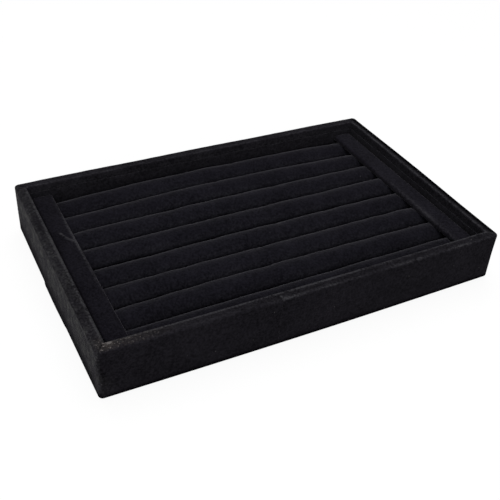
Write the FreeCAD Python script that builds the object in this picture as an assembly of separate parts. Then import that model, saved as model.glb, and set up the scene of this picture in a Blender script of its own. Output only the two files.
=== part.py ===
"""Velvet ring tray: a wrapped wooden tray with a lift-out insert of velvet rolls held by two flat rails.

Millimetres. X runs along the long side, Y towards the back and Z up. The origin is the middle of the
underside, on the surface that the tray stands on.
"""

import math
import os

import FreeCAD
import Part

# Whole tray, outside the velvet
TRAY_LENGTH = 225.0
TRAY_WIDTH = 143.5
TRAY_HEIGHT = 30.0

# Wooden boards
WALL_BOARD_THICKNESS = 4.6
BASE_PANEL_THICKNESS = 3.0
BOARD_CORNER_RADIUS = 1.6
BOARD_EDGE_RADIUS = 0.6

# Velvet strip round the walls
WRAP_THICKNESS = 0.6
WRAP_TURN_UNDER = 12.0
WRAP_SEAM_FROM_LEFT = 91.0
WRAP_SEAM_OPENING = 0.3

# Sheet under the tray
UNDERSIDE_THICKNESS = 0.5
UNDERSIDE_INSET = 4.0

# Velvet-faced linings
LINING_THICKNESS = 0.6
LINING_BELOW_RIM = 4.0
FLOOR_LINING_THICKNESS = 0.6

# Lift-out insert
INSERT_BOARD_THICKNESS = 1.5
INSERT_SIDE_CLEARANCE = 0.3
INSERT_END_CLEARANCE = 1.1

# Rails over the ends of the rolls
RAIL_WIDTH = 11.3
RAIL_THICKNESS = 2.7
RAIL_VELVET = 0.5
RAIL_CORE_EDGE_RADIUS = 0.5
RAIL_SEAT_CLEARANCE = 0.2

# Rolls
ROLL_COUNT = 8
ROLL_HEIGHT = 15.6
ROLL_VELVET = 0.6
ROLL_SPACING = 0.3
ROLL_END_INSET = 1.0
ROLL_SEAM_OPENING = 1.5
TUCK_LENGTH = 3.0
TUCK_INSET = 1.2
TUCK_STEPS = 4

# How the rails press the rolls down, and the slope that leads up from there
PRESSED_DEPTH = 1.2
PRESSED_BEYOND_RAIL = 0.3
PRESSED_SLOPE_LENGTH = 3.0
PRESSED_SLOPE_STEPS = 3

# Working values
CUT_OVERRUN = 1.0
SAME_PLACE = 1e-6

# Heights of the layers, from the surface that the tray stands on
wrap_bottom = UNDERSIDE_THICKNESS
base_bottom = wrap_bottom + WRAP_THICKNESS
base_top = base_bottom + BASE_PANEL_THICKNESS
board_top = TRAY_HEIGHT - WRAP_THICKNESS
floor_top = base_top + FLOOR_LINING_THICKNESS
lining_top = TRAY_HEIGHT - LINING_BELOW_RIM
insert_top = floor_top + INSERT_BOARD_THICKNESS

# Plan sizes of the wooden carcass and of the space inside the walls
carcass_length = TRAY_LENGTH - 2 * WRAP_THICKNESS
carcass_width = TRAY_WIDTH - 2 * WRAP_THICKNESS
wall_thickness = WALL_BOARD_THICKNESS + 2 * WRAP_THICKNESS
inside_length = TRAY_LENGTH - 2 * wall_thickness
inside_width = TRAY_WIDTH - 2 * wall_thickness

# Plan sizes of the insert
insert_length = inside_length - 2 * (LINING_THICKNESS + INSERT_END_CLEARANCE)
insert_width = inside_width - 2 * (LINING_THICKNESS + INSERT_SIDE_CLEARANCE)
roll_pitch = insert_width / ROLL_COUNT
roll_length = insert_length - 2 * ROLL_END_INSET

# Heights on the insert, and where the rolls come out from under the rails
crest_height = insert_top + ROLL_HEIGHT
rail_bottom = crest_height - PRESSED_DEPTH + RAIL_SEAT_CLEARANCE
rail_top = rail_bottom + RAIL_THICKNESS
pressed_from = insert_length / 2 - RAIL_WIDTH - PRESSED_BEYOND_RAIL


def block(length, width, bottom, top, x=0.0, y=0.0):
    """A box centred on a point in plan, from one height to another."""
    corner = FreeCAD.Vector(x - length / 2, y - width / 2, bottom)
    return Part.makeBox(length, width, top - bottom, corner)


def level_edges(shape, height):
    """The edges that lie all along at one height."""
    return [e for e in shape.Edges if all(abs(v.Z - height) < SAME_PLACE for v in e.Vertexes)]


def upright_edges(shape):
    """The straight edges that run up and down."""
    return [e for e in shape.Edges if abs(abs(e.tangentAt(e.FirstParameter).z) - 1) < SAME_PLACE]


def edges_along_y(shape, height):
    """The straight edges at one height that run from front to back."""
    level = level_edges(shape, height)
    return [e for e in level if abs(abs(e.tangentAt(e.FirstParameter).y) - 1) < SAME_PLACE]


def base_panel():
    """The panel under the walls, with its corners and its lower edge eased for the velvet."""
    panel = block(carcass_length, carcass_width, base_bottom, base_top)
    panel = panel.makeFillet(BOARD_CORNER_RADIUS, upright_edges(panel))
    return panel.makeFillet(BOARD_EDGE_RADIUS, level_edges(panel, base_bottom))


def long_wall_board(side):
    """A full-length wall board at the front (side -1) or the back (side 1), with rounded corners."""
    y = side * (carcass_width - WALL_BOARD_THICKNESS) / 2
    board = block(carcass_length, WALL_BOARD_THICKNESS, base_top, board_top, y=y)
    outer = [e for e in upright_edges(board) if side * e.CenterOfMass.y > side * y]
    board = board.makeFillet(BOARD_CORNER_RADIUS, outer)
    return board.makeFillet(BOARD_EDGE_RADIUS, level_edges(board, board_top))


def short_wall_board(side):
    """A wall board butted between the long ones, at the left (side -1) or the right (side 1)."""
    x = side * (carcass_length - WALL_BOARD_THICKNESS) / 2
    between = carcass_width - 2 * WALL_BOARD_THICKNESS
    board = block(WALL_BOARD_THICKNESS, between, base_top, board_top, x=x)
    return board.makeFillet(BOARD_EDGE_RADIUS, edges_along_y(board, board_top))


def wall_wrap(carcass):
    """The velvet strip: under the base, up the outside, over the rim and down the inside to the base."""
    form = block(TRAY_LENGTH, TRAY_WIDTH, wrap_bottom, TRAY_HEIGHT)
    form = form.makeFillet(BOARD_CORNER_RADIUS + WRAP_THICKNESS, upright_edges(form))
    form = form.cut(block(inside_length, inside_width, base_top, TRAY_HEIGHT + CUT_OVERRUN))
    eased = level_edges(form, TRAY_HEIGHT) + level_edges(form, wrap_bottom)
    form = form.makeFillet(BOARD_EDGE_RADIUS + WRAP_THICKNESS, eased)
    bare_length = TRAY_LENGTH - 2 * WRAP_TURN_UNDER
    bare_width = TRAY_WIDTH - 2 * WRAP_TURN_UNDER
    bare_base = block(bare_length, bare_width, wrap_bottom - CUT_OVERRUN, base_top)
    seam = block(
        WRAP_SEAM_OPENING,
        2 * (WRAP_TURN_UNDER + wall_thickness),
        wrap_bottom - CUT_OVERRUN,
        TRAY_HEIGHT + CUT_OVERRUN,
        x=WRAP_SEAM_FROM_LEFT - TRAY_LENGTH / 2,
        y=-TRAY_WIDTH / 2,
    )
    return form.cut(carcass + [bare_base, seam])


def underside_cover():
    """The sheet glued under the base, over the turned-under velvet."""
    length = TRAY_LENGTH - 2 * UNDERSIDE_INSET
    width = TRAY_WIDTH - 2 * UNDERSIDE_INSET
    sheet = block(length, width, 0, UNDERSIDE_THICKNESS)
    return sheet.makeFillet(BOARD_CORNER_RADIUS + WRAP_THICKNESS, upright_edges(sheet))


def long_lining(side):
    """The lining inside the front (side -1) or back (side 1) wall, the whole length of the inside."""
    y = side * (inside_width - LINING_THICKNESS) / 2
    return block(inside_length, LINING_THICKNESS, floor_top, lining_top, y=y)


def short_lining(side):
    """The lining inside the left (side -1) or right (side 1) wall, between the long linings."""
    x = side * (inside_length - LINING_THICKNESS) / 2
    return block(LINING_THICKNESS, inside_width - 2 * LINING_THICKNESS, floor_top, lining_top, x=x)


def floor_lining():
    """The velvet on the floor, from wall to wall."""
    return block(inside_length, inside_width, base_top, floor_top)


def insert_board():
    """The card that the rolls are glued to."""
    return block(insert_length, insert_width, floor_top, insert_top)


def rail_form(side, skin, radius):
    """A rail's solid, drawn in by a skin on all sides but its underside, with rounded upper edges."""
    x = side * (insert_length - RAIL_WIDTH) / 2
    top = rail_top - skin
    rail = block(RAIL_WIDTH - 2 * skin, insert_width - 2 * skin, rail_bottom, top, x=x)
    return rail.makeFillet(radius, level_edges(rail, top))


def rail_core(side):
    """The flat wooden strip inside a rail."""
    return rail_form(side, RAIL_VELVET, RAIL_CORE_EDGE_RADIUS)


def rail_cover(side):
    """The velvet over a rail's top, sides and ends."""
    return rail_form(side, 0, RAIL_CORE_EDGE_RADIUS + RAIL_VELVET).cut(rail_core(side))


def roll_y(number):
    """Where a roll's middle lies across the tray. The rolls are numbered from the back."""
    return ((ROLL_COUNT + 1) / 2 - number) * roll_pitch


def roll_section(x, y, half_width, foot, crest):
    """A roll's outline across its length: a flat foot, upright sides and a half-round crown."""
    axis_height = crest - half_width
    bend = half_width / math.sqrt(2)
    corners = {
        "front foot": FreeCAD.Vector(x, y - half_width, foot),
        "back foot": FreeCAD.Vector(x, y + half_width, foot),
        "back side": FreeCAD.Vector(x, y + half_width, axis_height),
        "back bend": FreeCAD.Vector(x, y + bend, axis_height + bend),
        "crest": FreeCAD.Vector(x, y, crest),
        "front bend": FreeCAD.Vector(x, y - bend, axis_height + bend),
        "front side": FreeCAD.Vector(x, y - half_width, axis_height),
    }
    edges = [
        Part.LineSegment(corners["front foot"], corners["back foot"]),
        Part.LineSegment(corners["back foot"], corners["back side"]),
        Part.Arc(corners["back side"], corners["back bend"], corners["crest"]),
        Part.Arc(corners["crest"], corners["front bend"], corners["front side"]),
        Part.LineSegment(corners["front side"], corners["front foot"]),
    ]
    return Part.Wire([e.toShape() for e in edges])


def roll_stations(skin):
    """Places along a roll from end to end, and how far its sides and its crest are drawn in there."""
    half_length = roll_length / 2 - skin
    stations = []
    for step in range(TUCK_STEPS + 1):
        share = step / TUCK_STEPS
        inset = TUCK_INSET * (1 - math.sqrt(1 - (1 - share) ** 2))
        stations.append((half_length - share * TUCK_LENGTH, inset, PRESSED_DEPTH + inset))
    for step in range(PRESSED_SLOPE_STEPS + 1):
        share = step / PRESSED_SLOPE_STEPS
        drop = PRESSED_DEPTH * (1 + math.cos(math.pi * share)) / 2
        stations.append((pressed_from - share * PRESSED_SLOPE_LENGTH, 0, drop))
    return stations + [(-x, inset, drop) for x, inset, drop in reversed(stations)]


def roll_form(number, skin):
    """A roll's solid, drawn in by a skin all round, with its ends tucked in and pressed down by the rails."""
    y = roll_y(number)
    half_width = (roll_pitch - ROLL_SPACING) / 2 - skin
    foot = insert_top + skin
    crest = crest_height - skin
    sections = []
    for x, inset, drop in roll_stations(skin):
        sections.append(roll_section(x, y, half_width - inset, foot, crest - drop))
    return Part.makeLoft(sections, True, True)


def roll_core(number):
    """The foam strip inside a roll."""
    return roll_form(number, ROLL_VELVET)


def roll_cover(number):
    """The velvet sleeve round a roll, open along a seam under its foot."""
    seam = block(
        roll_length - 2 * TUCK_LENGTH,
        ROLL_SEAM_OPENING,
        insert_top - CUT_OVERRUN,
        insert_top + ROLL_VELVET,
        y=roll_y(number),
    )
    return roll_form(number, 0).cut([roll_core(number), seam])


def tray_parts():
    """The wrapped tray, by node."""
    boards = {
        "base_panel": base_panel(),
        "front_wall_board": long_wall_board(-1),
        "back_wall_board": long_wall_board(1),
        "left_wall_board": short_wall_board(-1),
        "right_wall_board": short_wall_board(1),
    }
    return {
        **boards,
        "wall_wrap": wall_wrap(list(boards.values())),
        "underside_cover": underside_cover(),
        "front_lining": long_lining(-1),
        "back_lining": long_lining(1),
        "left_lining": short_lining(-1),
        "right_lining": short_lining(1),
        "floor_lining": floor_lining(),
    }


def insert_parts():
    """The lift-out ring insert, by node."""
    parts = {"insert_board": insert_board()}
    for name, side in (("left", -1), ("right", 1)):
        parts[f"{name}_rail_core"] = rail_core(side)
        parts[f"{name}_rail_cover"] = rail_cover(side)
    for number in range(1, ROLL_COUNT + 1):
        parts[f"roll_core_{number}"] = roll_core(number)
        parts[f"roll_cover_{number}"] = roll_cover(number)
    return parts


os.makedirs("parts", exist_ok=True)
for node, shape in {**tray_parts(), **insert_parts()}.items():
    shape.exportStep(f"parts/{node}.step")
    print(node, len(shape.Solids), "solid", shape.isValid(), round(shape.Volume))
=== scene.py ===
"""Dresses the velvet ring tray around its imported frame: velvet, padded rolls, foam, card, paper and wood.

Metres, in the part's own frame: X along the long side, Y towards the back, and Z up from the surface
that the tray stands on.
"""

import logging
import math
from dataclasses import dataclass, fields, replace
from enum import Enum

import bmesh
import bpy
import numpy as np
from mathutils import Matrix, Vector


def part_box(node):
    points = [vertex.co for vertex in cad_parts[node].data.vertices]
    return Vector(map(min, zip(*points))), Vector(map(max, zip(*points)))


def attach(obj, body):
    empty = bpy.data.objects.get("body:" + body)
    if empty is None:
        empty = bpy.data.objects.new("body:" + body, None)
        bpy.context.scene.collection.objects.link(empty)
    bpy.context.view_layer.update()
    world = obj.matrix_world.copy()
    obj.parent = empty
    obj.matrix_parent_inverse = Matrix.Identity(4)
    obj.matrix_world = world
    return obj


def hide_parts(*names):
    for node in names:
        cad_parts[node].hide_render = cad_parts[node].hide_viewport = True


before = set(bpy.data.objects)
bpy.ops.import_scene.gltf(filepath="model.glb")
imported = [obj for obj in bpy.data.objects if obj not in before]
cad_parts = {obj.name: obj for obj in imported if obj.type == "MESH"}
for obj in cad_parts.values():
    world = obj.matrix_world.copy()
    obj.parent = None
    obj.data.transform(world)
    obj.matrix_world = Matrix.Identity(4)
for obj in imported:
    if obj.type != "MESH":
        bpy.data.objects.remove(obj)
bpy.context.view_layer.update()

Colour = tuple[float, float, float]
Place = tuple[float, float, float]
Span = tuple[float, float]
FourSides = tuple[float, float, float, float]
Setting = str | bool | int | float
LOG = logging.getLogger("ring_tray")
MERGE_DISTANCE = 1e-6
FAR_OFF = 1.0
SHARP_ANGLE = math.radians(50)
MILLIMETRES = 1000
WHITE = (1.0, 1.0, 1.0)
NOISE_SPAN = (0.3, 0.7)

# Where the wrap's ends meet on the front, and where a fold crosses the left rim
SEAM_X = -0.0215
FOLD_Y = 0.0424

# How far each roll's crest is above the solid's, at its left, its middle and its right
ROLL_CRESTS = (
    (-0.0009, 0.00105, -0.0007),
    (-0.00085, 0.00115, -0.00055),
    (-0.00045, 0.0006, 0.0002),
    (-0.0006, 0.0002, 0.0007),
    (-0.002, -0.0006, -0.0006),
    (-0.0014, -0.0005, -0.0007),
    (-0.0015, -0.00015, -0.0008),
    (-0.0012, -0.0006, -0.0002),
)

# The points in X and Y that the left rail's slanting crease runs through
LEFT_RAIL_CREASE = ((-0.0999, 0.0262), (-0.0987, 0.0224), (-0.0959, 0.0181), (-0.0942, 0.0155))


class Body(Enum):
    """The bodies that pieces ride on."""

    TRAY = "tray"
    INSERT = "ring_insert"


class Slot(Enum):
    """The record's material slots."""

    VELVET = "velvet"
    FOAM = "foam"


class Side(Enum):
    """The tray's four sides, in the order that the wrap passes them."""

    FRONT = 0
    RIGHT = 1
    BACK = 2
    LEFT = 3

    @property
    def word(self) -> str:
        """The side's name as the nodes use it."""
        return self.name.lower()

    @property
    def outward(self) -> np.ndarray:
        """The direction that the side faces."""
        return np.array([(0, -1), (1, 0), (0, 1), (-1, 0)][self.value], float)

    @property
    def along(self) -> np.ndarray:
        """The direction in which the wrap runs along the side."""
        return np.array([(1, 0), (0, 1), (-1, 0), (0, -1)][self.value], float)


class Field:
    """A shader socket that takes part in Python expressions; each operation adds a Math node."""

    def __init__(self, graph: "Graph", socket: bpy.types.NodeSocket) -> None:
        """Wraps a socket of one of the graph's nodes."""
        self.graph = graph
        self.socket = socket

    def _maths(self, operation: str, first: "Field | float", second: "Field | float") -> "Field":
        """The result of a Math node on two values."""
        return self.graph.field("ShaderNodeMath", {"operation": operation}, {0: first, 1: second})

    def __add__(self, other: "Field | float") -> "Field":
        """The sum of two values."""
        return self._maths("ADD", self, other)

    def __radd__(self, other: float) -> "Field":
        """The sum of a number and a value."""
        return self._maths("ADD", other, self)

    def __sub__(self, other: "Field | float") -> "Field":
        """The difference of two values."""
        return self._maths("SUBTRACT", self, other)

    def __rsub__(self, other: float) -> "Field":
        """A number less a value."""
        return self._maths("SUBTRACT", other, self)

    def __mul__(self, other: "Field | float") -> "Field":
        """The product of two values."""
        return self._maths("MULTIPLY", self, other)

    def __rmul__(self, other: float) -> "Field":
        """The product of a number and a value."""
        return self._maths("MULTIPLY", other, self)

    def __truediv__(self, other: "Field | float") -> "Field":
        """The quotient of two values, and 0 where the second is 0."""
        return self._maths("DIVIDE", self, other)

    def __rtruediv__(self, other: float) -> "Field":
        """The quotient of a number and a value."""
        return self._maths("DIVIDE", other, self)

    def __abs__(self) -> "Field":
        """The value without its sign."""
        return self._maths("ABSOLUTE", self, 0.0)

    def rise(self, low: float, high: float) -> "Field":
        """A smooth step from 0 at one value to 1 at another.

        Args:
            low: The value where the step starts.
            high: The value where the step ends; it may be the lower of the two.

        Returns:
            The step's height, from 0 to 1.
        """
        sockets = {"Value": self, "From Min": low, "From Max": high}
        return self.graph.field("ShaderNodeMapRange", {"interpolation_type": "SMOOTHSTEP"}, sockets)


class Graph:
    """The node tree of one material or of the sky."""

    def __init__(self, owner: bpy.types.Material | bpy.types.World) -> None:
        """Empties the owner's node tree.

        Args:
            owner: The material or sky.
        """
        owner.use_nodes = True
        self.owner = owner
        self.tree = owner.node_tree
        self.tree.nodes.clear()

    @classmethod
    def of_material(cls, name: str) -> "Graph":
        """Starts an empty material."""
        return cls(bpy.data.materials.new(name))

    def node(
        self, kind: str, settings: dict[str, Setting] | None = None, sockets: dict | None = None
    ) -> bpy.types.Node:
        """Adds a node.

        Args:
            kind: The node's type.
            settings: Its properties, which are set first.
            sockets: Values or fields for its inputs, by name or number.

        Returns:
            The node.
        """
        made = self.tree.nodes.new(kind)
        for key, value in (settings or {}).items():
            setattr(made, key, value)
        for key, value in (sockets or {}).items():
            entry = made.inputs[key]
            if isinstance(value, Field):
                self.tree.links.new(value.socket, entry)
            elif entry.type == "RGBA":
                entry.default_value = (*value, 1.0)
            else:
                entry.default_value = value
        return made

    def field(
        self,
        kind: str,
        settings: dict[str, Setting] | None = None,
        sockets: dict | None = None,
        output: int | str = 0,
    ) -> Field:
        """Adds a node and takes one of its outputs.

        Args:
            kind: The node's type.
            settings: Its properties, which are set first.
            sockets: Values or fields for its inputs, by name or number.
            output: The output's name or number.

        Returns:
            The output, for use in expressions.
        """
        return Field(self, self.node(kind, settings, sockets).outputs[output])

    def place(self) -> Field:
        """The point's place in the part's frame."""
        return self.field("ShaderNodeTexCoord", output="Object")

    def noise(
        self, size: float, detail: float = 2.0, roughness: float = 0.5, stretch: Place = (1, 1, 1)
    ) -> Field:
        """Smooth noise.

        Args:
            size: How large its features are, in metres.
            detail: How many finer layers it has.
            roughness: How strong the finer layers are.
            stretch: How much finer it is along each axis.

        Returns:
            The noise, about 0.5 on average.
        """
        factors = {0: self.place(), 1: stretch}
        vector = self.field("ShaderNodeVectorMath", {"operation": "MULTIPLY"}, factors)
        sockets = {"Vector": vector, "Scale": 1 / size, "Detail": detail, "Roughness": roughness}
        return self.field("ShaderNodeTexNoise", {"noise_dimensions": "3D"}, sockets)

    def specks(self, spacing: float, radius: float, share: float) -> Field:
        """Small scattered spots.

        Args:
            spacing: The usual distance between places where a spot may be.
            radius: A spot's radius.
            share: The share of those places that hold a spot.

        Returns:
            1 in the spots and 0 elsewhere.
        """
        sockets = {"Vector": self.place(), "Scale": 1 / spacing}
        cells = self.node("ShaderNodeTexVoronoi", {"feature": "F1"}, sockets)
        distance = Field(self, cells.outputs["Distance"])
        pick = self.field("ShaderNodeSeparateColor", None, {0: Field(self, cells.outputs["Color"])})
        edge = radius / spacing
        solid = 0.4 * edge
        softness = 0.02
        return distance.rise(edge, solid) * pick.rise(1 - share, 1 + softness - share)

    def attribute(self, name: str) -> Field:
        """A value that the mesh carries at its points."""
        return self.field("ShaderNodeAttribute", {"attribute_name": name}, output="Fac")

    def shade(self, colour: "Field | Colour", amount: Field) -> Field:
        """A colour made lighter or darker by a factor."""
        return self.field("ShaderNodeVectorMath", {"operation": "SCALE"}, {0: colour, "Scale": amount})

    def mix(self, share: Field, first: "Field | Colour", second: "Field | Colour") -> Field:
        """A colour between two others.

        Args:
            share: How much of the second colour there is.
            first: The first colour.
            second: The second colour.

        Returns:
            The mixed colour.
        """
        settings = {"data_type": "RGBA", "clamp_factor": True}
        return self.field("ShaderNodeMix", settings, {0: share, 6: first, 7: second}, 2)

    def bump(self, height: Field, depth: float) -> Field:
        """A normal bent by a height.

        Args:
            height: The height, from 0 to 1.
            depth: How deep that is, in metres.

        Returns:
            The normal.
        """
        return self.field("ShaderNodeBump", None, {"Height": height, "Distance": depth, "Strength": 1.0})

    def surface(self, sockets: dict) -> bpy.types.Material:
        """Ends the material in a principled surface.

        Args:
            sockets: Values or fields for the surface's inputs.

        Returns:
            The material.
        """
        shader = self.field("ShaderNodeBsdfPrincipled", None, sockets)
        self.node("ShaderNodeOutputMaterial", None, {"Surface": shader})
        return self.owner

    def rough_surface(
        self, colour: Field, grain: Field, roughness: Span, normal: Field, gloss: float = 0.5
    ) -> bpy.types.Material:
        """Ends the material in a principled surface that is rougher where its grain is stronger.

        Args:
            colour: The surface's colour.
            grain: The grain, from 0 to 1.
            roughness: How rough the surface is where the grain is 0 and where it is 1.
            normal: The surface's normal.
            gloss: How strongly the surface mirrors.

        Returns:
            The material.
        """
        smooth, rough = roughness
        sockets = {"Base Color": colour, "Roughness": smooth + (rough - smooth) * grain, "Normal": normal}
        return self.surface({**sockets, "Specular IOR Level": gloss})

    def shared_surface(self, main: dict, others: list[tuple[Field, dict]]) -> bpy.types.Material:
        """Ends the material in a principled surface that gives part of its place to others.

        The main surface is mixed in last, so that it is the first one met from the output.

        Args:
            main: Values or fields for the inputs of the main surface.
            others: Each other surface's share of the whole, and its inputs.

        Returns:
            The material.
        """
        first = self.field("ShaderNodeBsdfPrincipled", None, main)
        taken, second = None, None
        for share, sockets in others:
            other = self.field("ShaderNodeBsdfPrincipled", None, sockets)
            taken = share if taken is None else taken + share
            if second is not None:
                other = self.field("ShaderNodeMixShader", None, {0: share / taken, 1: second, 2: other})
            second = other
        mixed = self.field("ShaderNodeMixShader", None, {0: taken, 1: first, 2: second})
        self.node("ShaderNodeOutputMaterial", None, {"Surface": mixed})
        return self.owner


@dataclass(frozen=True)
class Velvet:
    """Short cut pile: nearly black end on, paler at a glance, where worn, painted lighter or dusty."""

    name: str
    pile: Colour
    worn_and_lit: Colour = (0.027, 0.0265, 0.0295)
    dust: Colour = (0.034, 0.035, 0.032)
    fleck: Colour = (0.11, 0.11, 0.104)
    backing: Colour = (0.0225, 0.0193, 0.0185)
    thread: Colour = (0.135, 0.124, 0.12)
    loose_tuft: Colour = (0.09, 0.083, 0.081)
    lint: Colour = (0.16, 0.155, 0.15)
    lint_spacing: float = 0.005
    lint_radius: float = 0.0003
    lint_share: float = 0.25
    lint_where_clean: float = 0.35
    sheen: float = 0.09
    sheen_roughness: float = 0.35
    sheen_tint: Colour = (0.94, 0.915, 1.0)
    dust_sheen: float = 0.085
    dust_tint: Colour = (1.0, 1.0, 0.97)
    dust_reach: float = 0.3
    grain: float = 0.6
    tuft: float = 0.0011
    clump: float = 0.0024
    blotch: float = 0.006
    nap: float = 0.02
    weave: float = 0.001
    depth: float = 0.00014
    tuft_tone: float = 1.05
    clump_tone: float = 0.5
    nap_tone: float = 0.45
    shade_depth: float = 0.85
    worn_and_lit_evenly: float = 0.15
    dust_evenly: float = 0.1
    dust_in_clumps: float = 1.6
    dust_on_tufts: float = 0.4
    powder_evenly: float = 0.2
    powder_in_clumps: float = 2.2
    fleck_share: float = 0.5
    tuft_relief: float = 0.6
    blotch_span: Span = (0.35, 0.65)
    fleck_span: Span = (0.6, 0.72)
    backing_span: Span = (0.3, 0.55)
    thread_span: Span = (0.57, 0.7)
    loose_span: Span = (1.0, 2.0)
    painted_shade_span: Span = (0.45, 1.0)

    def material(self) -> bpy.types.Material:
        """Builds the material.

        Returns:
            The velvet, which reads the wear and painted light, dust, fray and shade on the mesh.
        """
        graph = Graph.of_material(self.name)
        tufts = graph.noise(self.tuft, detail=2.0, roughness=0.6).rise(*NOISE_SPAN)
        clumps = graph.noise(self.clump, detail=3.0, roughness=0.6).rise(*NOISE_SPAN)
        nap = graph.noise(self.nap, detail=3.0, roughness=0.55).rise(*NOISE_SPAN)
        mottle = self.tuft_tone * tufts + self.clump_tone * clumps + self.nap_tone * nap
        tone = (1 - self.grain) + self.grain * mottle
        # The shade attribute darkens the pile: painted shade in the main, with a darker tone in places
        shade = graph.attribute("shade")
        colour = graph.shade(self.pile, tone * (1 - self.shade_depth * shade))
        # The wear attribute pales the pile: real wear, and painted light in places
        rubbed = self.worn_and_lit_evenly + (1 - self.worn_and_lit_evenly) * mottle * mottle
        colour = graph.mix(graph.attribute("wear") * rubbed, colour, self.worn_and_lit)
        dust = graph.attribute("dust")
        blotches = graph.noise(self.blotch, detail=2.0, roughness=0.6).rise(*self.blotch_span)
        settled = self.dust_evenly + self.dust_in_clumps * clumps * blotches + self.dust_on_tufts * tufts
        colour = graph.mix(dust * settled, colour, self.dust)
        flecks = graph.noise(self.tuft, detail=1.0, roughness=0.5).rise(*self.fleck_span)
        colour = graph.mix(self.fleck_share * dust * flecks, colour, self.fleck)
        fray = graph.attribute("fray")
        threads = graph.noise(self.weave, detail=2.0, roughness=0.6)
        colour = graph.mix(fray * threads.rise(*self.backing_span), colour, self.backing)
        colour = graph.mix(fray * threads.rise(*self.thread_span), colour, self.thread)
        colour = graph.mix(fray.rise(*self.loose_span), colour, self.loose_tuft)
        specks = graph.specks(self.lint_spacing, self.lint_radius, self.lint_share)
        colour = graph.mix(specks * (self.lint_where_clean + dust), colour, self.lint)
        relief = self.tuft_relief * tufts + (1 - self.tuft_relief) * clumps
        # A surface without sheen, which takes over where the painted shade is strong
        painted_shade_surface = {
            "Base Color": colour,
            "Roughness": 1.0,
            "Specular IOR Level": 0.0,
            "Normal": graph.bump(relief, self.depth),
        }
        upright = {
            **painted_shade_surface,
            "Sheen Weight": self.sheen,
            "Sheen Roughness": self.sheen_roughness,
            "Sheen Tint": self.sheen_tint,
        }
        dusty = {**upright, "Sheen Weight": self.dust_sheen, "Sheen Tint": self.dust_tint}
        powder = self.powder_evenly + self.powder_in_clumps * blotches * clumps
        powdered = (dust * powder).rise(0.0, self.dust_reach)
        painted_shade_share = shade.rise(*self.painted_shade_span)
        return graph.shared_surface(upright, [(powdered * (1 - painted_shade_share), dusty), (painted_shade_share, painted_shade_surface)])


@dataclass(frozen=True)
class FibreBoard:
    """Pressed wood fibre: fine flecks and a slight cloudiness."""

    name: str = "wood_fibre_board"
    light: Colour = (0.36, 0.23, 0.13)
    dark: Colour = (0.2, 0.12, 0.065)
    fleck: float = 0.0009
    fleck_stretch: Place = (0.35, 1, 1)
    fleck_span: Span = (0.35, 0.7)
    fleck_share: float = 0.7
    cloud: float = 0.012
    depth: float = 0.00008
    roughness: Span = (0.8, 0.95)

    def material(self) -> bpy.types.Material:
        """Builds the material.

        Returns:
            The material.
        """
        graph = Graph.of_material(self.name)
        flecks = graph.noise(self.fleck, detail=3.0, roughness=0.65, stretch=self.fleck_stretch)
        clouds = graph.noise(self.cloud, detail=2.0)
        darkness = self.fleck_share * flecks.rise(*self.fleck_span) + (1 - self.fleck_share) * clouds
        colour = graph.mix(darkness, self.light, self.dark)
        return graph.rough_surface(colour, flecks, self.roughness, graph.bump(flecks, self.depth))


@dataclass(frozen=True)
class GreyCard:
    """Recycled card: grey-brown pulp with darker and paler fibres."""

    name: str = "grey_card"
    pulp: Colour = (0.27, 0.235, 0.19)
    fibre: Colour = (0.11, 0.095, 0.08)
    pale: Colour = (0.5, 0.46, 0.4)
    pulp_size: float = 0.004
    pulp_span: Span = (0.55, 0.75)
    pulp_share: float = 0.5
    dark_specks: tuple[float, float, float] = (0.003, 0.0004, 0.35)
    dark_share: float = 0.7
    pale_specks: tuple[float, float, float] = (0.0037, 0.0003, 0.3)
    pale_share: float = 0.6
    grain: float = 0.0008
    depth: float = 0.00005
    roughness: Span = (0.85, 0.95)

    def material(self) -> bpy.types.Material:
        """Builds the material.

        Returns:
            The material.
        """
        graph = Graph.of_material(self.name)
        pulp = graph.noise(self.pulp_size, detail=4.0, roughness=0.6)
        colour = graph.mix(pulp.rise(*self.pulp_span) * self.pulp_share, self.pulp, self.fibre)
        colour = graph.mix(graph.specks(*self.dark_specks) * self.dark_share, colour, self.fibre)
        colour = graph.mix(graph.specks(*self.pale_specks) * self.pale_share, colour, self.pale)
        bump = graph.bump(graph.noise(self.grain, detail=2.0), self.depth)
        return graph.rough_surface(colour, pulp, self.roughness, bump)


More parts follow.
